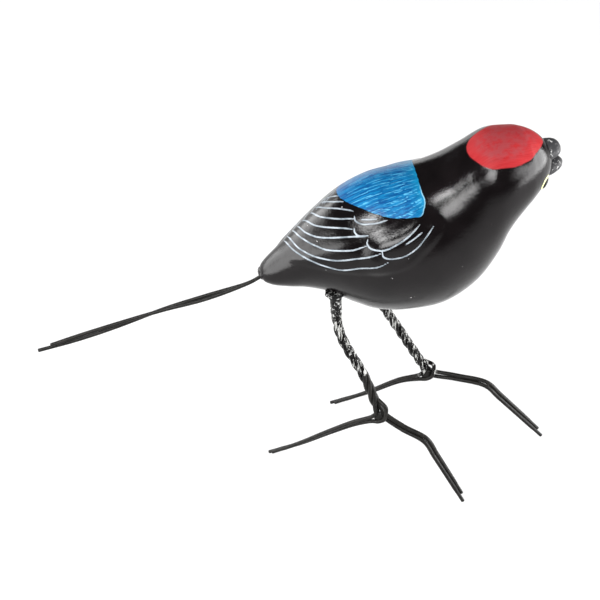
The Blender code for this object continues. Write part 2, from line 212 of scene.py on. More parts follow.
# Paint and varnish thicken the wires, but not their tips.
LEG_SWELLING = 0.1
TIP_LENGTH = 3.0
TIP_TRIM = 0.06

# Share of each leg that was dipped in varnish, and how the varnish ends. The tail has none.
DIPPED = {"right": 0.72, "left": 1.08}
VARNISH_FADE = 6.0
NO_VARNISH = -20.0

# Folded wing: its edge stands proud of the flank by the rise, over the edge's width. The line
# runs from the shoulder down and back under the flight feathers: forward, angle up the flank.
WING_RISE = 0.5
WING_EDGE = 2.4
WING_TOP = 58.0
WING_FADE = 20.0

# The coverts swell towards this line near their lower edge, most on the near wing.
COVERT_RISES = (1.4, 0.4)
COVERT_REACH = 6.5
COVERT_CREST = ((-10.5, 25.0), (-9.0, 32.0), (-4.2, 36.5), (0.3, 42.0), (5.0, 49.0))
WING_OUTLINE = (
    (10.5, 62.0), (12.7, 50.0), (12.7, 39.0), (9.0, 33.0), (4.0, 26.0), (-1.3, 17.0),
    (-9.0, 12.5), (-20.6, 12.0), (-27.5, 20.0), (-33.5, 44.0), (-37.0, 80.0), (-38.0, 105.0),
)

# The line along the back where the painted wings meet: forward, angle up the right flank.
RIDGE = ((-45.0, 108.0), (-36.0, 112.0), (-22.0, 112.0), (-8.0, 105.0), (8.0, 98.0), (30.0, 93.0))
FAR_WING_LOW = -30.0
BACK = 90.0

# Painted strokes as points (forward, angle up the flank), from the back to the front.
STROKE_WIDTH = 0.54
STROKE_TAPER = 0.7
STROKE_END = 0.1
BARE = -6.0
FLIGHT_LINES = (
    ((-21.9, 121.0), (-19.9, 110.0), (-17.9, 100.0)),
    ((-22.5, 117.0), (-19.7, 96.8), (-17.0, 87.2)),
    ((-24.3, 117.0), (-21.5, 93.5), (-18.4, 81.2), (-15.0, 71.5)),
    ((-26.0, 115.0), (-23.3, 85.5), (-18.9, 69.5), (-15.3, 64.0)),
    ((-28.5, 114.5), (-25.1, 77.8), (-20.9, 63.2), (-16.1, 54.5)),
    ((-30.3, 111.0), (-27.9, 75.5), (-24.4, 58.2), (-19.7, 50.2), (-13.0, 45.5)),
    ((-31.9, 114.0), (-29.8, 75.8), (-26.2, 50.0), (-22.4, 39.0), (-17.0, 35.2), (-13.2, 37.5)),
    ((-33.8, 113.0), (-30.6, 56.0), (-25.9, 33.2), (-20.9, 26.5), (-14.6, 27.5), (-9.5, 31.0)),
    (
        (-35.0, 109.5), (-32.5, 61.0), (-28.6, 33.0), (-24.7, 20.5), (-20.6, 15.5), (-15.9, 17.5),
        (-10.9, 20.0), (-7.4, 23.5),
    ),
)
COVERT_LINES = (
    ((-15.0, 66.2), (-14.8, 61.0), (-12.7, 56.2), (-9.2, 55.0), (-6.1, 56.2)),
    ((-13.4, 61.2), (-11.3, 59.5), (-9.3, 58.5)),
    ((-15.6, 55.2), (-15.5, 50.5), (-14.5, 47.0), (-12.1, 45.8)),
    (
        (-12.4, 43.2), (-12.8, 39.0), (-11.5, 34.5), (-8.7, 33.2), (-4.2, 36.8), (0.3, 42.0),
        (4.5, 48.2),
    ),
    ((-1.6, 36.0), (1.3, 38.8), (4.8, 42.5)),
    (
        (-9.0, 32.8), (-8.5, 27.8), (-6.3, 26.0), (-2.6, 26.8), (1.9, 31.2), (5.5, 37.5),
        (9.5, 44.5),
    ),
)

# Outlines of the painted patches, the near half and then the far one.
MANTLE_NEAR = (
    (8.1, 98.0), (8.2, 82.0), (8.3, 74.2), (8.8, 66.5), (7.5, 58.8), (5.3, 53.8), (2.0, 54.6),
    (-3.2, 56.4), (-7.6, 60.2), (-13.7, 74.2), (-17.1, 91.0), (-18.0, 106.0),
)
CROWN = (
    (28.4, 113.0), (26.4, 106.5), (25.2, 96.8), (24.9, 88.0), (25.2, 79.0), (26.0, 69.0),
    (27.3, 57.0), (29.0, 50.0), (31.3, 48.5), (33.8, 53.0), (37.3, 60.0), (40.3, 71.0),
    (41.9, 85.2), (41.8, 98.0), (40.6, 110.0), (37.6, 122.0), (34.0, 131.0), (31.2, 130.0),
    (29.8, 121.0),
)

# Specks of pale dust under the glaze: forward, angle up the right flank, radius.
SPECKS = (
    (-17.6, 81.5, 0.24), (-27.5, 88.8, 0.2), (-25.8, 56.2, 0.2), (-25.1, 15.2, 0.2),
    (-4.5, 19.2, 0.22), (-0.8, 24.8, 0.24), (-6.2, 8.2, 0.24), (-0.6, -14.5, 0.34),
    (0.4, -14.0, 0.24), (15.3, -0.2, 0.22), (20.1, 63.0, 0.18), (25.0, 8.0, 0.16),
    (29.0, -20.0, 0.16),
)

# Lighter strokes on the mantle: rows across the back, each stroke running forward. They start
# a pitch apart, a little unevenly, and climb up the flank as they go.
MANTLE_SEED = 4
MANTLE_ROWS = 24
MANTLE_FLANKS = (44.0, 162.0)
MANTLE_STROKES = 6
MANTLE_STROKE_WIDTH = 0.5
MANTLE_STROKE_TAPER = 0.3
MANTLE_STROKE_POINTS = 12
MANTLE_PITCH = 4.4
MANTLE_MARGIN = 0.3
MANTLE_SLIP = 1.4
MANTLE_LENGTHS = (3.8, 8.0)
MANTLE_SHORTEST = 1.5
MANTLE_SWAY = 1.8
MANTLE_REAR = -16.5
MANTLE_FRONT = 7.7
MANTLE_REACH = 24.5
MANTLE_CLIMB = (0.4, 0.3)
MANTLE_CLIMB_SHARE = 0.75
MANTLE_CLIMB_SPAN = 40.0

# Millimetres that a degree round the body counts as in the marks of the brush.
BRUSH_AROUND = 0.33

EYE_PLACE = (41.0, -8.0)
EYE_RADIUS = 3.0
EYE_RISE = 1.0
EYE_STEEPNESS = 1.25
EYE_RING = (2.05, 2.6)
RING_EDGE = 0.08
PUPIL_EDGE = 0.05

# Rough glaze that ran down the wires below the belly: how far, and how thick it is. It starts
# above the mouth of the socket, flares there and shows the strands below.
ROOT_GLAZE = {"right": 9.5, "left": 4.0}
ROOT_THICKNESS = 0.35
ROOT_ABOVE = 1.2
ROOT_FADE = 3.0
ROOT_SIDES = 44
ROOT_FLARE = 1.3
ROOT_FLARE_REACH = 0.9
ROOT_COVER = (0.55, 0.4)
ROOT_STRANDS = 0.18
ROOT_STRAND_SHARE = 1.1
ROOT_LUMP_SHARE = 0.6
ROOT_LUMP_SCALE = 0.9
ROOT_LUMP_KIND = (1.0, 2.0, 3)

# Varnish in the knot at the ankle: forward and up from the ankle, and its three half sizes.
KNOT_MIDDLE = (-0.3, -1.2)
KNOT_RADII = (1.9, 1.0, 2.1)
KNOT_LUMPS = 0.25
KNOT_LUMP_SCALE = 3.0
KNOT_RINGS = 20
KNOT_SIDES = 24


# Geometry tools


def unit(vector):
    return np.asarray(vector, float) / np.linalg.norm(vector)


def turn(axis, degrees):
    """Rotation matrix about one of the axes x, y or z."""
    c, s = math.cos(math.radians(degrees)), math.sin(math.radians(degrees))
    if axis == "x":
        return np.array(((1, 0, 0), (0, c, -s), (0, s, c)))
    if axis == "y":
        return np.array(((c, 0, s), (0, 1, 0), (-s, 0, c)))
    return np.array(((c, -s, 0), (s, c, 0), (0, 0, 1)))


LEAN = turn("x", BODY_LEAN)


def to_world(points):
    """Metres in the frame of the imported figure."""
    return (np.asarray(points, float) + STAND) * MM


def smooth_through(rows, places):
    """Values on a smooth curve through the rows, at places counted in rows from the first."""
    rows = np.asarray(rows, float)
    ends = np.vstack((2 * rows[0] - rows[1], rows, 2 * rows[-1] - rows[-2]))
    places = np.asarray(places, float)
    start = np.minimum(places.astype(int), len(rows) - 2)
    t = (places - start)[:, None]
    a, b, c, d = (ends[start + k] for k in range(4))
    return b + 0.5 * t * (c - a + t * (2 * a - 5 * b + 4 * c - d + t * (3 * (b - c) + d - a)))


def even_points(points, count):
    """The same line, with count points at equal steps along it."""
    points = np.asarray(points, float)
    steps = np.linalg.norm(np.diff(points, axis=0), axis=1)
    along = np.concatenate(([0.0], np.cumsum(steps)))
    wanted = np.linspace(0.0, along[-1], count)
    return np.column_stack([np.interp(wanted, along, column) for column in points.T])


def flowing(points, per_span):
    """A dense smooth line through points that may be unevenly spaced."""
    ends = np.vstack((2 * points[0] - points[1], points, 2 * points[-1] - points[-2]))
    line = []
    for first in range(len(points) - 1):
        p = ends[first : first + 4]
        gaps = np.sqrt(np.linalg.norm(np.diff(p, axis=0), axis=1))
        t = np.concatenate(([0.0], np.cumsum(gaps)))
        for u in np.linspace(t[1], t[2], per_span, endpoint=False):
            a = [((t[k + 1] - u) * p[k] + (u - t[k]) * p[k + 1]) / gaps[k] for k in range(3)]
            b = []
            for k in (0, 1):
                b.append(((t[k + 2] - u) * a[k] + (u - t[k]) * a[k + 1]) / (t[k + 2] - t[k]))
            line.append(((t[2] - u) * b[0] + (u - t[1]) * b[1]) / gaps[1])
    line.append(points[-1])
    return np.array(line)


def ease(value):
    value = np.clip(value, 0.0, 1.0)
    return value * value * (3.0 - 2.0 * value)


def mesh_object(name, points, faces, material):
    mesh = bpy.data.meshes.new(name)
    mesh.from_pydata([tuple(point) for point in to_world(points)], [], faces)
    mesh.materials.append(material)
    mesh.shade_smooth()
    mesh.update()
    made = bpy.data.objects.new(name, mesh)
    bpy.context.scene.collection.objects.link(made)
    return made


def keep_values(piece, name, values):
    """A number for every point of the mesh, which the materials read by its name."""
    attribute = piece.data.attributes.new(name, "FLOAT", "POINT")
    attribute.data.foreach_set("value", np.asarray(values, np.float32))


def lattice_faces(rings, sides, first=0):
    """Faces of a tube whose points are numbered ring by ring."""
    faces = []
    for ring in range(rings - 1):
        start = first + ring * sides
        for side in range(sides):
            beside = (side + 1) % sides
            faces.append((start + side, start + sides + side, start + sides + beside, start + beside))
    return faces


# The clay body


def head_axes():
    """Forward, left and up of the head, before the body's lean."""
    return turn("z", HEAD_YAW) @ turn("x", HEAD_ROLL)


def head_middle():
    return np.array((HEAD_CENTRE[0], 0.0, HEAD_CENTRE[1]))


def section_rows():
    """Centre, forward and left axes, half height and half width of every section."""
    rows = []
    for forward, up, tilt, high, wide in BODY_STATIONS:
        axes = turn("y", -tilt)
        rows.append((forward, 0.0, up, *axes[:, 0], *axes[:, 1], high, wide))
    axes = head_axes()
    for step in HEAD_STEPS:
        across = HEAD_RADIUS * math.sqrt(1.0 - step * step)
        throat = THROAT_DROP * (1.0 - step) ** 2
        centre = head_middle() + axes @ (step * HEAD_FRONT, 0.0, -throat)
        sizes = (across + throat, across + throat * THROAT_WIDTH_SHARE)
        rows.append((*centre, *axes[:, 0], *axes[:, 1], *sizes))
    return np.array(rows)


ROWS = section_rows()
FINE_PLACES = np.linspace(0.0, len(ROWS) - 1.0, FINE_POINTS)
FINE_FORWARD = smooth_through(ROWS, FINE_PLACES)[:, 0]


def place_of(forward):
    """Where along the sections the body's centre line has come this far forward."""
    return np.interp(forward, FINE_FORWARD, FINE_PLACES)


def surface(places, angles, out=0.0):
    """Points on the clay; the angle is 0 on the left flank, 90 on the back, 180 on the right."""
    table = smooth_through(ROWS, places)
    front = table[:, 3:6] / np.linalg.norm(table[:, 3:6], axis=1)[:, None]
    left = table[:, 6:9] - front * np.sum(table[:, 6:9] * front, axis=1)[:, None]
    left /= np.linalg.norm(left, axis=1)[:, None]
    up = np.cross(front, left)
    c, s = np.cos(np.radians(angles)), np.sin(np.radians(angles))
    high, wide = table[:, 9] + out - SKIN, table[:, 10] + out - SKIN
    spots = table[:, :3] + left * (c * wide)[:, None] + up * (s * high)[:, None]
    return spots @ LEAN.T


def even_places(count):
    """Places whose sections lie at equal steps along the back."""
    spots = surface(FINE_PLACES, np.full(len(FINE_PLACES), BACK))
    along = np.concatenate(([0.0], np.cumsum(np.linalg.norm(np.diff(spots, axis=0), axis=1))))
    return np.interp(np.linspace(0.0, along[-1], count), along, FINE_PLACES)


def ridge_at(forward):
    return np.interp(forward, [row[0] for row in RIDGE], [row[1] for row in RIDGE])


def far_side(forward, flank):
    """The angle up the left flank that answers to one up the right flank."""
    ridge = ridge_at(forward)
    share = (np.asarray(flank, float) - FAR_WING_LOW) / (ridge - FAR_WING_LOW)
    return FAR_WING_LOW + share * (180.0 - ridge - FAR_WING_LOW)


def on_both_wings(line):
    """Dense points (place, angle) of one line on the right wing and its match on the left."""
    knots = np.array([(place_of(f) * SECTION_DEGREES, a) for f, a in line])
    points = flowing(knots, KNOT_POINTS)
    places, flank = points[:, 0] / SECTION_DEGREES, points[:, 1]
    forward = np.interp(places, FINE_PLACES, FINE_FORWARD)
    return (places, 180.0 - flank), (places, far_side(forward, flank))


def closed_outline(points):
    """Dense points (place, angle) of a closed outline given as (forward, angle up the flank)."""
    loop = np.array([(place_of(f) * SECTION_DEGREES, a) for f, a in points])
    wrapped = np.vstack((loop[-2:], loop, loop[:3]))
    dense = flowing(wrapped, KNOT_POINTS)[2 * KNOT_POINTS : -2 * KNOT_POINTS - 1]
    return dense[:, 0] / SECTION_DEGREES, 180.0 - dense[:, 1]


def inside(places, angles, outline):
    """Which points lie within a closed outline, both as (place, angle)."""
    px, py = outline
    qx, qy = np.roll(px, -1), np.roll(py, -1)
    found = np.zeros(len(places), bool)
    for x0, y0, x1, y1 in zip(px, py, qx, qy):
        if x0 == x1:
            continue
        crosses = (places > min(x0, x1)) & (places <= max(x0, x1))
        found ^= crosses & (angles < y0 + (places - x0) * (y1 - y0) / (x1 - x0))
    return found


def distances(points, lines):
    """Distance from every point to the nearest of the lines' own points, and which one it is."""
    spots = np.vstack(lines)
    tree = KDTree(len(spots))
    for i, spot in enumerate(spots):
        tree.insert(spot, i)
    tree.balance()
    found = [tree.find(point) for point in points]
    return np.array([hit[2] for hit in found]), np.array([hit[1] for hit in found])


def stroke_cover(points, lines, width, taper):
    """1 in the middle of a painted stroke, 0 at its edge and less beyond it, to BARE at least."""
    halves = []
    for line in lines:
        share = np.linspace(0.0, 1.0, len(line))
        ends = np.minimum(share, 1.0 - share)
        halves.append(width / 2.0 * (taper + (1.0 - taper) * ease(ends / STROKE_END)))
    halves = np.concatenate(halves)
    away, which = distances(points, lines)
    return np.clip(1.0 - away / halves[which], BARE, 1.0)


def dense_surface(line):
    """Points on the clay along a line of (places, angles), a short step apart."""
    spots = surface(*line)
    length = np.sum(np.linalg.norm(np.diff(spots, axis=0), axis=1))
    return even_points(spots, max(4, int(length / LINE_STEP)))


def stroke_rise(forward, flank):
    """Degrees up the flank that the brush has climbed since the mantle's rear end."""
    run = np.clip(forward - MANTLE_REAR, 0.0, MANTLE_REACH)
    steady, growing = MANTLE_CLIMB
    climb = MANTLE_CLIMB_SHARE * (steady * run + growing * run * run / MANTLE_REACH)
    return climb * (ridge_at(forward) - flank) / MANTLE_CLIMB_SPAN


def mantle_strokes(rng):
    """Strokes in rows across the mantle, climbing more steeply towards the lower front corner."""
    lines = []
    lowest, highest = MANTLE_FLANKS
    for row in range(MANTLE_ROWS):
        low = lowest + row * (highest - lowest) / (MANTLE_ROWS - 1)
        for number in range(MANTLE_STROKES):
            start = MANTLE_REAR + MANTLE_MARGIN + number * MANTLE_PITCH
            start += rng.uniform(-MANTLE_SLIP, MANTLE_SLIP)
            end = min(start + rng.uniform(*MANTLE_LENGTHS), MANTLE_FRONT)
            if end - start < MANTLE_SHORTEST:
                continue
            forward = np.linspace(start, end, MANTLE_STROKE_POINTS)
            flank = low + rng.uniform(-MANTLE_SWAY, MANTLE_SWAY) + stroke_rise(forward, low)
            lines.append((place_of(forward), 180.0 - flank))
    return lines


def add_bill(points, faces):
    """The two lobes of the bill, each a flattened finger with a round end."""
    axes = head_axes() @ turn("x", BILL_ROLL)
    for lobe in (UPPER_BILL, LOWER_BILL):
        start, tip = np.array(lobe["start"]), np.array(lobe["tip"])
        first = len(points)
        shares = [step[0] for step in BILL_STEPS]
        sizes = [step[1] for step in BILL_STEPS]
        for share in 1.0 - (1.0 - np.linspace(0.0, 1.0, BILL_RINGS)) ** BILL_CROWDING:
            forward, up = start + share * (tip - start)
            size = np.interp(share, shares, sizes)
            for side in range(BILL_SIDES):
                angle = 2.0 * math.pi * side / BILL_SIDES
                local = (
                    forward,
                    math.cos(angle) * (size * lobe["width"] - SKIN),
                    up + math.sin(angle) * (size * lobe["thickness"] - SKIN),
                )
                points.append(LEAN @ (head_middle() + axes @ local))
        faces += lattice_faces(BILL_RINGS, BILL_SIDES, first)
        last = first + (BILL_RINGS - 1) * BILL_SIDES
        faces.append(tuple(range(first + BILL_SIDES - 1, first - 1, -1)))
        faces.append(tuple(range(last, last + BILL_SIDES)))


def fill_values(values, count, bill):
    """Gives the points added last the least value of each, and whether they are the bill's."""
    for name, numbers in values.items():
        filler = bill if name == "bill" else numbers.min()
        values[name] = np.concatenate((numbers, np.full(count - len(numbers), filler)))


def body_lattice():
    """Place and angle of every point of the body's mesh, ring by ring from the stub."""
    low, high = PAINTED_SPAN
    painted = np.linspace(low, high, PAINTED_SIDES, endpoint=False)
    plain = np.linspace(high, low + 360.0, BODY_SIDES - PAINTED_SIDES, endpoint=False)
    angles = np.tile(np.concatenate((painted, plain)), BODY_RINGS)
    angles = np.where(angles > 270.0, angles - 360.0, angles)
    return np.repeat(even_places(BODY_RINGS), BODY_SIDES), angles


def wing_rise(flat, places, angles):
    """How far the folded wings and their coverts stand out from the plain clay."""
    outlines = []
    on_wing = np.zeros(len(places), bool)
    for line in on_both_wings(WING_OUTLINE):
        line = np.array(line)
        over = np.array(((line[0, -1], line[0, 0]), (BACK, BACK)))
        on_wing |= inside(places, angles, np.hstack((line, over)))
        outlines.append(dense_surface(line))
    away, _ = distances(flat, outlines)
    signed = np.where(on_wing, away, -away)
    flank = np.where(angles > BACK, 180.0 - angles, angles)
    fade = ease((WING_TOP - flank) / WING_FADE)
    rise = WING_RISE * ease(0.5 + signed / WING_EDGE) * fade
    for line, height in zip(on_both_wings(COVERT_CREST), COVERT_RISES):
        away, _ = distances(flat, [dense_surface(line)])
        rise = rise + height * ease(1.0 - away / COVERT_REACH)
    return rise


def eye_distances(flat):
    """Distance of every point from the nearer eye."""
    forward, flank = EYE_PLACE
    eyes = surface(np.full(2, place_of(forward)), np.array((180.0 - flank, flank)))
    return np.min([np.linalg.norm(flat - centre, axis=1) for centre in eyes], axis=0)


def patch_depth(flat, places, angles, outline):
    """Distance of every point from the edge of a painted patch, less than 0 outside it."""
    closed = tuple(np.append(values, values[0]) for values in outline)
    away, _ = distances(flat, [dense_surface(closed)])
    return np.where(inside(places, angles, outline), away, -away)


def speck_cover(flat):
    """1 in the middle of a speck, 0 at its edge and less than 0 beyond it."""
    marks = np.array(SPECKS)
    spots = surface(place_of(marks[:, 0]), 180.0 - marks[:, 1])
    covers = []
    for spot, size in zip(spots, marks[:, 2]):
        covers.append(1.0 - np.linalg.norm(flat - spot, axis=1) / size)
    return np.max(covers, axis=0)


def paint_values(flat, places, angles, eye):
    """What the paint needs to know at every point of the body."""
    far = [(f, 2.0 * ridge_at(f) - a) for f, a in reversed(MANTLE_NEAR[1:-1])]
    mantle = closed_outline(MANTLE_NEAR + tuple(far))
    drawn = FLIGHT_LINES + COVERT_LINES
    wing = [dense_surface(line) for stroke in drawn for line in on_both_wings(stroke)]
    strokes = mantle_strokes(np.random.default_rng(MANTLE_SEED))
    blue = [dense_surface(line) for line in strokes]
    forward = np.interp(places, FINE_PLACES, FINE_FORWARD)
    flank = 180.0 - angles
    return {
        "bill": np.zeros(len(places)),
        "crown": patch_depth(flat, places, angles, closed_outline(CROWN)),
        "mantle": patch_depth(flat, places, angles, mantle),
        "wing_line": stroke_cover(flat, wing, STROKE_WIDTH, STROKE_TAPER),
        "mantle_line": stroke_cover(flat, blue, MANTLE_STROKE_WIDTH, MANTLE_STROKE_TAPER),
        "eye": -eye,
        "speck": speck_cover(flat),
        "flank": flank,
        "forward": forward,
        "around": (flank - stroke_rise(forward, flank)) * BRUSH_AROUND,
    }


def close_stub(points, faces):
    """Rounds off the tail stub behind the first ring."""
    ring = np.array(points[:BODY_SIDES])
    middle = ring.mean(axis=0)
    backward = -LEAN @ ROWS[0, 3:6] * STUB_REACH
    before = 0
    for size in STUB_ROUNDING:
        first = len(points)
        points += list(middle + (ring - middle) * size + backward * math.sqrt(1.0 - size * size))
        for side in range(BODY_SIDES):
            beside = (side + 1) % BODY_SIDES
            faces.append((before + side, before + beside, first + beside, first + side))
        before = first
    points.append(middle + backward)
    for side in range(BODY_SIDES):
        faces.append((before + side, before + (side + 1) % BODY_SIDES, len(points) - 1))


def close_face(points, faces):
    """Closes the front of the head beyond the last ring."""
    first = (BODY_RINGS - 1) * BODY_SIDES
    front = np.array(points[first : first + BODY_SIDES]).mean(axis=0)
    points.append(front + LEAN @ ROWS[-1, 3:6] * FACE_BULGE)
    for side in range(BODY_SIDES):
        faces.append((first + side, len(points) - 1, first + (side + 1) % BODY_SIDES))


def clay_body(material):
    """The painted body, with the values that its paint reads."""
    places, angles = body_lattice()
    flat = surface(places, angles)
    eye = eye_distances(flat)
    rise = wing_rise(flat, places, angles)
    rise = rise + EYE_RISE * ease(EYE_STEEPNESS * (1.0 - eye / EYE_RADIUS))
    values = paint_values(flat, places, angles, eye)
    points = list(surface(places, angles, rise))
    faces = lattice_faces(BODY_RINGS, BODY_SIDES)
    close_stub(points, faces)
    close_face(points, faces)
    fill_values(values, len(points), 0.0)
    add_bill(points, faces)
    fill_values(values, len(points), 1.0)
    body = mesh_object("painted_clay_body", np.array(points), faces, material)
    for name, numbers in values.items():
        keep_values(body, name, numbers)
    return body


# The wires


def bundle_radius():
    """Distance of a strand's middle from the leg's, so that neighbours just clear each other."""
    spread = (2.0 * WIRE_RADIUS + STRAND_GAP) / (2.0 * math.sin(math.pi / STRANDS))
    return spread / math.sqrt(1.0 - (2.0 * math.pi * spread / LAY) ** 2)


def belly_height(forward, left):
    """Height of the underside of the clay at this place."""
    places = np.repeat(np.linspace(*BELLY_SECTIONS, BELLY_PLACES), BELLY_ANGLES)
    angles = np.tile(np.linspace(180.0, 360.0, BELLY_ANGLES), BELLY_PLACES)
    spots = surface(places, angles)
    near = np.argsort(np.hypot(spots[:, 0] - forward, spots[:, 1] - left))[:BELLY_NEAREST]
    return float(spots[near, 2].min())


def carried_frames(points, last_across):
    """A direction across the line at every point, carried back from the last one unturned."""
    ahead = np.gradient(points, axis=0)
    ahead /= np.linalg.norm(ahead, axis=1)[:, None]
    across = np.zeros_like(points)
    kept = np.asarray(last_across, float)
    for i in reversed(range(len(points))):
        kept = unit(kept - ahead[i] * (kept @ ahead[i]))
        across[i] = kept
    return ahead, across


def leg_line(leg):
    """Centre line of the leg's rope from the bottom of its socket to the ankle."""
    mouth = np.array((*leg["root"], belly_height(*leg["root"])))
    into = unit(mouth - np.array(leg["shank"][0]))
    knots = np.array((mouth + into * SOCKET_REACH, mouth, *leg["shank"], leg["ankle"]))
    return even_points(flowing(knots, KNOT_POINTS), ROPE_POINTS)


def toe_line(leg, strand):
    """Points of one wire of a toe, from beside the ankle to its tip on the ground."""
    heading = turn("z", leg["heading"])
    ahead, left, up = heading[:, 0], heading[:, 1], heading[:, 2]
    ankle = np.array(leg["ankle"])
    rows = np.array([(along, drop or 0.0) for along, drop in leg[strand["toe"]]])
    to_ground = ankle[2] + STANCE_HEIGHT
    last_run = unit((abs(rows[-1, 0] - rows[-2, 0]), to_ground - rows[-2, 1]))
    rows[-1, 1] = to_ground - WIRE_RADIUS * last_run[0]
    slopes = np.gradient(np.vstack(((0.0, 0.0), rows)), axis=0)[1:]
    aside = 1.0 if strand["toe"] == "front_toe" else -1.0
    half = strand["lane"] * (2.0 * WIRE_RADIUS + TOE_GAP) / 2
    tip_twist = TOE_TWIST_AT_TIP[strand["toe"]]
    points = []
    for i, (along, drop) in enumerate(rows):
        share = (i + 1) / len(rows)
        twist = math.radians(TOE_TWIST_AT_ANKLE + share * (tip_twist - TOE_TWIST_AT_ANKLE))
        run, fall = unit(slopes[i])
        above = (ahead * fall + up * run) * (1.0 if run > 0.0 else -1.0)
        offset = left * math.cos(twist) + above * math.sin(twist)
        beside = left * aside * (1.0 - share) * bundle_radius() / math.sqrt(2.0)
        points.append(ankle + ahead * along - up * drop + offset * half + beside)
    if strand["lane"] > 0.0:
        points[-1] -= unit(points[-1] - points[-2]) * TOE_TIP_STEP
    else:
        points[-1][2] = WIRE_RADIUS * last_run[0] - STANCE_HEIGHT
    return points


def strand_lines(leg):
    """Centre lines of the four wires of a leg, from the socket to the tips of its toes."""
    line = leg_line(leg)
    steps = np.linalg.norm(np.diff(line, axis=0), axis=1)
    to_ankle = np.concatenate(([0.0], np.cumsum(steps[::-1])))[::-1]
    heading = turn("z", leg["heading"])
    ahead, front = carried_frames(line, heading[:, 0])
    left = np.cross(front, ahead)
    radius = bundle_radius()
    made = []
    for strand in ANKLE_STRANDS:
        rope = []
        for i in np.flatnonzero(to_ankle >= strand["lead"]):
            turned = 360.0 * (to_ankle[i] - PHASE_HEIGHT) / LAY
            angle = math.radians(strand["phase"] + turned)
            rope.append(line[i] + radius * (front[i] * math.cos(angle) + left[i] * math.sin(angle)))
        aside = radius / math.sqrt(2.0) * (1.0 if strand["toe"] == "front_toe" else -1.0)
        turns = []
        for forward, up in strand["turns"]:
            local = (forward * 2.0 * WIRE_RADIUS, aside, up * 2.0 * WIRE_RADIUS)
            turns.append(np.array(leg["ankle"]) + heading @ local)
        knots = np.array([rope[-ROPE_LEAD_POINTS], rope[-1], *turns, *toe_line(leg, strand)])
        foot = flowing(knots, KNOT_POINTS)[KNOT_POINTS:]
        made.append(np.vstack((rope[:-1], foot)))
    return made


def tail_lines():
    """Centre lines of the two tail wires, which turn about each other as their twist says."""
    stub = BODY_STATIONS[0][:2]
    rows = [np.array((stub[0] + x, 0.0, stub[1] + z)) for x, z, _ in TAIL_LINE]
    rows = np.vstack((rows[0] + unit(rows[0] - rows[1]) * SOCKET_REACH, rows))
    twists = [TAIL_LINE[0][2]] + [row[2] for row in TAIL_LINE]
    places = np.linspace(0.0, len(rows) - 1.0, TAIL_POINTS)
    table = smooth_through(np.column_stack((rows, twists)), places)
    line, turned = table[:, :3], np.radians(table[:, 3])
    along = np.concatenate(([0.0], np.cumsum(np.linalg.norm(np.diff(line, axis=0), axis=1))))
    half = WIRE_RADIUS + TAIL_GAP / 2
    offset = np.column_stack((np.zeros(len(line)), np.cos(turned), np.sin(turned))) * half
    made = []
    for side in (1.0, -1.0):
        end = along[-1] - (TAIL_SHORTER if side < 0.0 else 0.0)
        made.append(((line + side * offset) @ LEAN.T)[along <= end])
    return made


def tube(name, line, radii, material):
    """A round closed tube along a line; its ends are cut square with a small round edge."""
    ahead, first = carried_frames(line, WIRE_ACROSS)
    second = np.cross(ahead, first)
    centres, sizes = list(line), list(radii)
    centres = [line[0], line[0] + ahead[0] * WIRE_END_EDGE] + centres[1:-1]
    sizes = [radii[0] * WIRE_END_SHARE, radii[0]] + sizes[1:-1]
    centres += [line[-1] - ahead[-1] * WIRE_END_EDGE, line[-1]]
    sizes += [radii[-1], radii[-1] * WIRE_END_SHARE]
    firsts = np.vstack((first[:1], first, first[-1:]))
    seconds = np.vstack((second[:1], second, second[-1:]))
    points = []
    for centre, size, one, two in zip(centres, sizes, firsts, seconds):
        for side in range(WIRE_SIDES):
            angle = 2.0 * math.pi * side / WIRE_SIDES
            points.append(centre + size * (one * math.cos(angle) + two * math.sin(angle)))
    rings = len(centres)
    faces = [tuple(reversed(face)) for face in lattice_faces(rings, WIRE_SIDES)]
    faces.append(tuple(range(WIRE_SIDES)))
    faces.append(tuple(reversed(range((rings - 1) * WIRE_SIDES, rings * WIRE_SIDES))))
    return mesh_object(name, np.array(points), faces, material), rings


def wire(name, line, material, varnished, swelling):
    """One wire, slightly uneven, and how far down it the black varnish runs."""
    length = np.sum(np.linalg.norm(np.diff(line, axis=0), axis=1))
    line = even_points(line, int(length / WIRE_STEP))
    line[-1] -= unit(line[-1] - line[-2]) * TIP_TRIM
    run = np.linspace(0.0, length, len(line))
    swollen = swelling * ease((run - TIP_LENGTH) / TIP_LENGTH)
    swollen = swollen * ease((length - run - TIP_LENGTH) / TIP_LENGTH)
    uneven = []
    for point in line:
        lump = noise.noise(Vector(point) * WIRE_LUMP_SCALE)
        uneven.append(1.0 - WIRE_THINNING * (0.5 + 0.5 * lump))
    made, rings = tube(name, line, WIRE_RADIUS * np.array(uneven) + swollen, material)
    run = np.linspace(0.0, length, rings)
    keep_values(made, "varnish", np.repeat(ease((varnished - run) / VARNISH_FADE + 0.5), WIRE_SIDES))
    keep_values(made, "run", np.repeat(run, WIRE_SIDES))
    return made


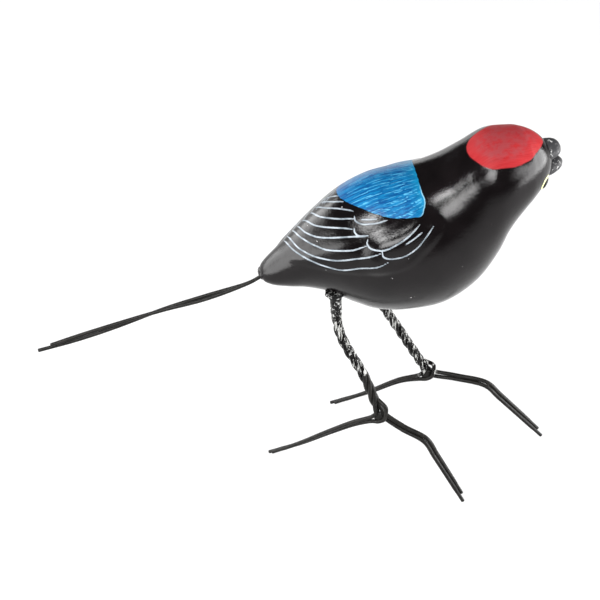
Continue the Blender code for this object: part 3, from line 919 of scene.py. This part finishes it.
def ankle_varnish(name, leg, material):
    """A lump of varnish that fills the knot at the ankle."""
    heading = turn("z", leg["heading"])
    back, up = KNOT_MIDDLE
    middle = np.array(leg["ankle"]) + heading @ np.array((back, 0.0, up))
    points = []
    for ring in range(1, KNOT_RINGS):
        polar = math.pi * ring / KNOT_RINGS
        wide, high = math.sin(polar), math.cos(polar)
        for side in range(KNOT_SIDES):
            angle = 2.0 * math.pi * side / KNOT_SIDES
            out = np.array((wide * math.cos(angle), wide * math.sin(angle), high))
            lumps = 1.0 + KNOT_LUMPS * noise.noise(Vector(middle + out * KNOT_LUMP_SCALE))
            points.append(middle + heading @ (out * np.array(KNOT_RADII) * lumps))
    faces = [tuple(reversed(face)) for face in lattice_faces(KNOT_RINGS - 1, KNOT_SIDES)]
    last = len(points) - KNOT_SIDES
    faces.append(tuple(range(KNOT_SIDES)))
    faces.append(tuple(reversed(range(last, len(points)))))
    return mesh_object(name, np.array(points), faces, material)


def root_glaze(name, leg, reach, material):
    """Rough glaze round the top of a leg, thinning out down the rope."""
    line = leg_line(leg)
    steps = np.linalg.norm(np.diff(line, axis=0), axis=1)
    run = np.concatenate(([0.0], np.cumsum(steps)))
    kept = (run > SOCKET_REACH - ROOT_ABOVE) & (run < SOCKET_REACH + reach)
    line, run = line[kept], run[kept] - SOCKET_REACH
    ahead, across = carried_frames(line, (1.0, 0.0, 0.0))
    other = np.cross(ahead, across)
    covered, thickened = ROOT_COVER
    points = []
    for centre, one, two, down in zip(line, across, other, run):
        thin = ease((reach - down) / ROOT_FADE)
        flare = ROOT_FLARE * math.exp(-max(down, 0.0) / ROOT_FLARE_REACH)
        for side in range(ROOT_SIDES):
            angle = 2.0 * math.pi * side / ROOT_SIDES
            out = one * math.cos(angle) + two * math.sin(angle)
            spot = centre + out * bundle_radius()
            lumps = noise.fractal(Vector(spot) * ROOT_LUMP_SCALE, *ROOT_LUMP_KIND)
            strands = ROOT_STRANDS * math.cos(STRANDS * (angle - 2.0 * math.pi * down / LAY))
            size = bundle_radius() + WIRE_RADIUS * (covered + thickened * thin)
            size = size + strands * (ROOT_STRAND_SHARE - thin)
            crust = ROOT_THICKNESS * thin * (ROOT_LUMP_SHARE + lumps)
            points.append(centre + out * (size + crust + flare))
    faces = [tuple(reversed(face)) for face in lattice_faces(len(line), ROOT_SIDES)]
    faces.append(tuple(range(ROOT_SIDES)))
    faces.append(tuple(reversed(range(len(points) - ROOT_SIDES, len(points)))))
    return mesh_object(name, np.array(points), faces, material)


# Materials


class Nodes:
    """Short words for building one material."""

    def __init__(self, name):
        self.material = bpy.data.materials.new(name)
        self.material.use_nodes = True
        self.tree = self.material.node_tree
        self.shader = self.tree.nodes["Principled BSDF"]

    def add(self, kind, **settings):
        node = self.tree.nodes.new(kind)
        for name, value in settings.items():
            setattr(node, name, value)
        return node

    def link(self, value, socket):
        if isinstance(value, bpy.types.NodeSocket):
            self.tree.links.new(value, socket)
        elif isinstance(value, (tuple, list)) and len(value) == 3 and socket.type == "RGBA":
            socket.default_value = (*value, 1.0)
        else:
            socket.default_value = value

    def math(self, operation, a, b=0.0, c=0.0):
        node = self.add("ShaderNodeMath", operation=operation)
        for value, socket in zip((a, b, c), node.inputs):
            self.link(value, socket)
        return node.outputs[0]

    def value(self, name):
        return self.add("ShaderNodeAttribute", attribute_name=name).outputs["Fac"]

    def place(self):
        """The object's own coordinates in millimetres."""
        mapping = self.add("ShaderNodeMapping")
        self.link(self.add("ShaderNodeTexCoord").outputs["Object"], mapping.inputs["Vector"])
        mapping.inputs["Scale"].default_value = (1.0 / MM, 1.0 / MM, 1.0 / MM)
        return mapping.outputs[0]

    def noise(self, vector, scale, detail=3.0, roughness=0.55):
        node = self.add("ShaderNodeTexNoise")
        self.link(vector, node.inputs["Vector"])
        node.inputs["Scale"].default_value = scale
        node.inputs["Detail"].default_value = detail
        node.inputs["Roughness"].default_value = roughness
        return node.outputs["Fac"]

    def step(self, value, low, high, out_low=0.0, out_high=1.0):
        """Eases from one value to another while the input goes from low to high."""
        node = self.add("ShaderNodeMapRange", interpolation_type="SMOOTHSTEP")
        for number, key in (
            (value, "Value"),
            (low, "From Min"),
            (high, "From Max"),
            (out_low, "To Min"),
            (out_high, "To Max"),
        ):
            self.link(number, node.inputs[key])
        return node.outputs["Result"]

    def mix(self, share, a, b):
        node = self.add("ShaderNodeMix", data_type="RGBA")
        self.link(share, node.inputs["Factor"])
        self.link(a, node.inputs["A"])
        self.link(b, node.inputs["B"])
        return node.outputs["Result"]

    def bump(self, height, distance, strength=1.0, normal=None):
        node = self.add("ShaderNodeBump")
        self.link(height, node.inputs["Height"])
        node.inputs["Distance"].default_value = distance * MM
        node.inputs["Strength"].default_value = strength
        if normal is not None:
            self.link(normal, node.inputs["Normal"])
        return node.outputs["Normal"]

    def finish(self, colour, roughness, normal=None):
        self.link(colour, self.shader.inputs["Base Color"])
        self.link(roughness, self.shader.inputs["Roughness"])
        if normal is not None:
            self.link(normal, self.shader.inputs["Normal"])
        return self.material


def painted_glaze():
    """Black glaze with the painted crown, mantle, wing lines and eye."""
    n = Nodes("painted_glaze")
    place = n.place()
    cloud = n.noise(place, 0.09, 4.0)
    grain = n.noise(place, 1.9, 3.0, 0.6)
    black = n.mix(n.step(cloud, 0.3, 0.75), (0.0030, 0.0024, 0.0026), (0.0056, 0.0045, 0.0048))
    # The bill is a duller grey than the glaze: partly its own paint, partly a painted sheen.
    black = n.mix(n.value("bill"), black, (0.034, 0.034, 0.036))

    brush = n.add("ShaderNodeCombineXYZ")
    n.link(n.math("MULTIPLY", n.value("forward"), 0.22), brush.inputs[0])
    n.link(n.math("MULTIPLY", n.value("around"), 1.5), brush.inputs[1])
    drag = n.noise(brush.outputs[0], 1.0, 5.0, 0.6)
    wobble = n.math("MULTIPLY_ADD", n.noise(place, 0.8, 2.0), 0.5, -0.25)

    mantle = n.math("ADD", n.value("mantle"), wobble)
    on_mantle = n.step(mantle, -0.1, 0.12)
    blue = n.mix(n.step(drag, 0.36, 0.64), (0.0022, 0.052, 0.178), (0.0060, 0.145, 0.325))
    front = n.step(n.value("forward"), 3.0, 9.0)
    blue = n.mix(n.math("MULTIPLY", front, 0.55), blue, (0.0065, 0.215, 0.365))
    uneven = n.math("MULTIPLY_ADD", grain, 0.5, -0.25)
    streak = n.step(n.math("ADD", n.value("mantle_line"), uneven), 0.0, 0.6)
    faint = n.step(n.noise(place, 0.35, 2.0), 0.35, 0.65, 0.35, 0.9)
    blue = n.mix(n.math("MULTIPLY", streak, faint), blue, (0.085, 0.35, 0.54))
    flank = n.value("flank")
    low_front = n.math("MULTIPLY", n.step(n.value("forward"), 4.0, 7.5), n.step(flank, 84.0, 72.0))
    rim = n.math("MULTIPLY", n.step(mantle, 0.45, 0.15), low_front)
    blue = n.mix(n.math("MULTIPLY", rim, 0.75), blue, (0.26, 0.50, 0.62))
    colour = n.mix(on_mantle, black, blue)

    crown = n.math("ADD", n.value("crown"), n.math("MULTIPLY", wobble, 0.7))
    on_crown = n.step(crown, -0.15, 0.4)
    red = n.mix(n.step(drag, 0.35, 0.68), (0.262, 0.0135, 0.0165), (0.312, 0.022, 0.0245))
    # The middle of the crown turns a darker, greyer red: partly wear, partly a painted sheen.
    crown_wear_and_sheen = n.math("MULTIPLY", n.step(crown, 1.2, 4.5), n.step(n.noise(place, 0.45, 5.0, 0.65), 0.3, 0.62))
    red = n.mix(n.math("MULTIPLY", crown_wear_and_sheen, 0.75), red, (0.225, 0.042, 0.048))
    colour = n.mix(on_crown, colour, red)

    line = n.math("ADD", n.value("wing_line"), n.math("MULTIPLY_ADD", grain, 0.5, -0.25))
    on_line = n.step(line, -0.12, 0.3)
    pale = n.mix(n.step(n.noise(place, 0.3, 3.0), 0.35, 0.65), (0.15, 0.18, 0.205), (0.34, 0.38, 0.42))
    colour = n.mix(n.math("MULTIPLY", on_line, 0.92), colour, pale)

    eye = n.math("MULTIPLY", n.value("eye"), -1.0)
    inner, outer = EYE_RING
    begins = n.step(eye, inner - RING_EDGE, inner + RING_EDGE)
    ring = n.math("MULTIPLY", begins, n.step(eye, outer + RING_EDGE, outer - RING_EDGE))
    pupil = n.step(eye, inner + PUPIL_EDGE, inner - PUPIL_EDGE)
    colour = n.mix(pupil, colour, (0.006, 0.006, 0.004))
    colour = n.mix(ring, colour, (0.74, 0.76, 0.36))

    colour = n.mix(n.step(n.value("speck"), 0.0, 0.35), colour, (0.62, 0.60, 0.60))
    # Pale flecks on the bill are painted glints.
    bill_glints = n.math("MULTIPLY", n.value("bill"), n.step(n.noise(place, 0.95, 3.0, 0.6), 0.61, 0.65))
    colour = n.mix(n.math("MULTIPLY", bill_glints, 0.8), colour, (0.55, 0.55, 0.54))

    painted = n.math("MAXIMUM", on_mantle, on_crown)
    rough = n.step(n.noise(place, 0.5, 4.0), 0.25, 0.8, 0.07, 0.13)
    rough = n.math("MULTIPLY_ADD", n.math("SUBTRACT", grain, 0.45), 0.14, rough)
    rough = n.math("MULTIPLY_ADD", on_mantle, 0.22, rough)
    rough = n.math("MULTIPLY_ADD", on_crown, 0.34, rough)
    rough = n.math("MULTIPLY_ADD", on_line, 0.2, rough)
    rough = n.math("MULTIPLY_ADD", n.value("bill"), 0.3, rough)
    skin = n.bump(n.noise(place, 1.7, 3.0, 0.65), 0.05, 1.0)
    skin = n.bump(n.noise(place, 0.16, 2.0), 0.2, 0.5, skin)
    lumps = n.math("MULTIPLY", n.value("bill"), n.noise(place, 0.8, 3.0, 0.6))
    ridges = n.math("ADD", n.math("MULTIPLY", drag, painted), n.math("MULTIPLY", on_line, 0.6))
    skin = n.bump(n.math("MULTIPLY_ADD", lumps, 5.0, ridges), 0.05, 0.8, skin)
    n.shader.inputs["IOR"].default_value = 1.45
    n.link(n.math("MULTIPLY_ADD", on_crown, -0.17, 0.25), n.shader.inputs["Specular IOR Level"])
    return n.finish(colour, rough, skin)


def varnished_wire():
    """Dark iron wire, with glossy black varnish where it was dipped, and pale flecks on the varnish that
    are partly residue and partly painted glints.
    """
    n = Nodes("varnished_iron_wire")
    place = n.place()
    grime = n.noise(place, 0.55, 4.0, 0.6)
    coat = n.step(n.math("ADD", n.value("varnish"), n.math("MULTIPLY_ADD", grime, 0.9, -0.45)), 0.4, 0.6)
    iron = n.mix(n.step(grime, 0.35, 0.7), (0.0045, 0.0042, 0.0038), (0.0125, 0.0115, 0.0100))
    colour = n.mix(coat, iron, (0.0018, 0.0018, 0.0016))
    split = n.add("ShaderNodeSeparateXYZ")
    n.link(place, split.inputs[0])
    along = n.add("ShaderNodeCombineXYZ")
    n.link(n.math("MULTIPLY", n.value("run"), 0.22), along.inputs[0])
    n.link(n.math("MULTIPLY", split.outputs[0], 1.3), along.inputs[1])
    n.link(n.math("MULTIPLY", split.outputs[1], 1.3), along.inputs[2])
    # Pale flecks on the varnish: partly pale residue, partly painted glints.
    flake_and_glint = n.step(n.noise(along.outputs[0], 0.9, 4.0, 0.7), 0.53, 0.58)
    colour = n.mix(n.math("MULTIPLY", n.math("MULTIPLY", flake_and_glint, coat), 0.85), colour, (0.46, 0.46, 0.445))
    rough = n.step(n.noise(place, 1.2, 3.0), 0.3, 0.7, 0.34, 0.5)
    rough = n.math("SUBTRACT", rough, n.math("MULTIPLY", coat, 0.22))
    skin = n.bump(n.noise(place, 0.9, 3.0), 0.2, 0.8)
    skin = n.bump(n.noise(place, 3.0, 2.0), 0.05, 0.5, skin)
    n.link(n.math("MULTIPLY_ADD", coat, -0.06, 0.16), n.shader.inputs["Specular IOR Level"])
    return n.finish(colour, rough, skin)


def rough_glaze():
    """Lumpy black glaze at the tops of the legs, with pale flecks that are partly residue and partly
    painted glints.
    """
    n = Nodes("rough_black_glaze")
    place = n.place()
    # Pale flecks in the crust: partly pale residue, partly painted glints.
    chip_and_glint = n.step(n.noise(place, 0.62, 4.0, 0.7), 0.54, 0.6)
    colour = n.mix(n.math("MULTIPLY", chip_and_glint, 0.8), (0.002, 0.002, 0.002), (0.55, 0.55, 0.54))
    rough = n.step(n.noise(place, 0.9, 3.0), 0.3, 0.7, 0.12, 0.3)
    skin = n.bump(n.noise(place, 0.9, 4.0, 0.65), 0.5, 1.0)
    n.shader.inputs["Specular IOR Level"].default_value = 0.16
    return n.finish(colour, rough, skin)


def floor_paper():
    """Plain white sheet on a light table, which leaves hardly a shadow."""
    n = Nodes("pale_paper")
    n.shader.inputs["Emission Color"].default_value = (1.0, 1.0, 1.0, 1.0)
    n.shader.inputs["Emission Strength"].default_value = FLOOR_GLOW
    return n.finish(FLOOR_WHITE, 0.75)


# Camera, light and floor

CAMERA = (-87.2, -393.2, 298.7)
CAMERA_BACK = (-0.108, -0.769, 0.629)
CAMERA_RIGHT = (0.990, -0.139, 0.0)
LENS = 94.8
SENSOR = 36.0

# Light panels: azimuths from forward towards the left, elevations, distance, radiance.
SOFTBOXES = {
    "key_softbox": ((-157.0, -140.0), (44.5, 60.0), 0.7, 31.0),
    "side_softbox": ((-135.0, -104.0), (28.0, 47.0), 0.7, 16.0),
    "low_left_softbox": ((-186.0, -150.0), (-4.0, 19.0), 0.55, 7.5),
    "low_right_softbox": ((-44.0, 16.0), (-8.0, 27.0), 0.5, 10.0),
    "front_softbox": ((-53.0, -45.0), (14.0, 34.0), 0.5, 7.0),
    "back_left_softbox": ((120.0, 174.0), (4.0, 20.0), 0.6, 6.5),
    "back_wall": ((60.0, 176.0), (-4.0, 6.0), 0.6, 1.2),
}
AREA_WATTS = 4.0
ROOM_LIGHT = 0.02
WALL_LIGHT = 1.0
FLOOR_GLOW = 0.68
FLOOR_WHITE = (0.24, 0.24, 0.24)
FLOOR_HALF = 3.0
FLOOR_DROP = 0.0002


def add_camera():
    data = bpy.data.cameras.new("photo_camera")
    data.lens = LENS
    data.sensor_width = SENSOR
    data.clip_start = 0.01
    back, right = Vector(CAMERA_BACK).normalized(), Vector(CAMERA_RIGHT)
    right = (right - back * right.dot(back)).normalized()
    camera = bpy.data.objects.new("photo_camera", data)
    bpy.context.scene.collection.objects.link(camera)
    axes = Matrix((right, back.cross(right), back)).transposed().to_4x4()
    camera.matrix_world = Matrix.Translation(Vector(to_world(CAMERA))) @ axes
    bpy.context.scene.camera = camera


def add_softbox(name, azimuth, elevation, distance, radiance):
    """A light panel that fills a span of azimuths and elevations as seen from the body's middle."""
    data = bpy.data.lights.new(name, "AREA")
    data.shape = "RECTANGLE"
    e = math.radians(sum(elevation) / 2.0)
    data.size = 2.0 * distance * math.tan(math.radians(azimuth[1] - azimuth[0]) / 2.0) * math.cos(e)
    data.size_y = 2.0 * distance * math.tan(math.radians(elevation[1] - elevation[0]) / 2.0)
    data.energy = AREA_WATTS * data.size * data.size_y * radiance
    lamp = bpy.data.objects.new(name, data)
    bpy.context.scene.collection.objects.link(lamp)
    a = math.radians(sum(azimuth) / 2.0)
    away = Vector((math.cos(a) * math.cos(e), math.sin(a) * math.cos(e), math.sin(e)))
    lamp.location = Vector(to_world((0.0, 0.0, 0.0))) + away * distance
    lamp.rotation_euler = away.to_track_quat("Z", "Y").to_euler()


def add_floor(material):
    """A wide sheet of paper under the toes."""
    half = FLOOR_HALF
    mesh = bpy.data.meshes.new("paper_floor")
    corners = [(-half, -half, 0.0), (half, -half, 0.0), (half, half, 0.0), (-half, half, 0.0)]
    mesh.from_pydata(corners, [], [(0, 1, 2, 3)])
    mesh.materials.append(material)
    floor = bpy.data.objects.new("paper_floor", mesh)
    bpy.context.scene.collection.objects.link(floor)
    floor.location.z = -FLOOR_DROP


def add_world():
    """A dim room that the camera sees as a pale wall."""
    world = bpy.data.worlds.new("studio")
    world.use_nodes = True
    tree = world.node_tree
    mixed = tree.nodes.new("ShaderNodeMix")
    mixed.inputs["A"].default_value = ROOM_LIGHT
    mixed.inputs["B"].default_value = WALL_LIGHT
    tree.links.new(tree.nodes.new("ShaderNodeLightPath").outputs["Is Camera Ray"], mixed.inputs["Factor"])
    tree.links.new(mixed.outputs["Result"], tree.nodes["Background"].inputs["Strength"])
    tree.nodes["Background"].inputs["Color"].default_value = (1.0, 1.0, 1.0, 1.0)
    bpy.context.scene.world = world


# Assembly


def place_on_figure(piece, slot, *nodes):
    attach(piece, "root")
    if nodes:
        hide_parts(*nodes)


def main():
    add_camera()
    glaze, iron, crust = painted_glaze(), varnished_wire(), rough_glaze()
    place_on_figure(clay_body(glaze), "black_glaze", "ceramic_body")
    for side, leg in LEGS.items():
        rope = leg_line(leg)
        dipped = DIPPED[side] * np.sum(np.linalg.norm(np.diff(rope, axis=0), axis=1))
        for number, line in enumerate(strand_lines(leg), 1):
            strand = wire(f"{side}_leg_strand_{number}", line, iron, dipped, LEG_SWELLING)
            place_on_figure(strand, "iron_wire", f"{side}_leg_wire_{number}")
        collar = root_glaze(f"{side}_leg_root_glaze", leg, ROOT_GLAZE[side], crust)
        place_on_figure(collar, "black_glaze")
        place_on_figure(ankle_varnish(f"{side}_ankle_varnish", leg, iron), "black_glaze")
    for name, line in zip(("longer", "shorter"), tail_lines()):
        strand = wire(f"{name}_tail_strand", line, iron, NO_VARNISH, 0.0)
        place_on_figure(strand, "iron_wire", f"tail_wire_{name}")

    add_floor(floor_paper())
    add_world()
    for name, light in SOFTBOXES.items():
        add_softbox(name, *light)
    bpy.context.scene.view_settings.view_transform = "Standard"


main()
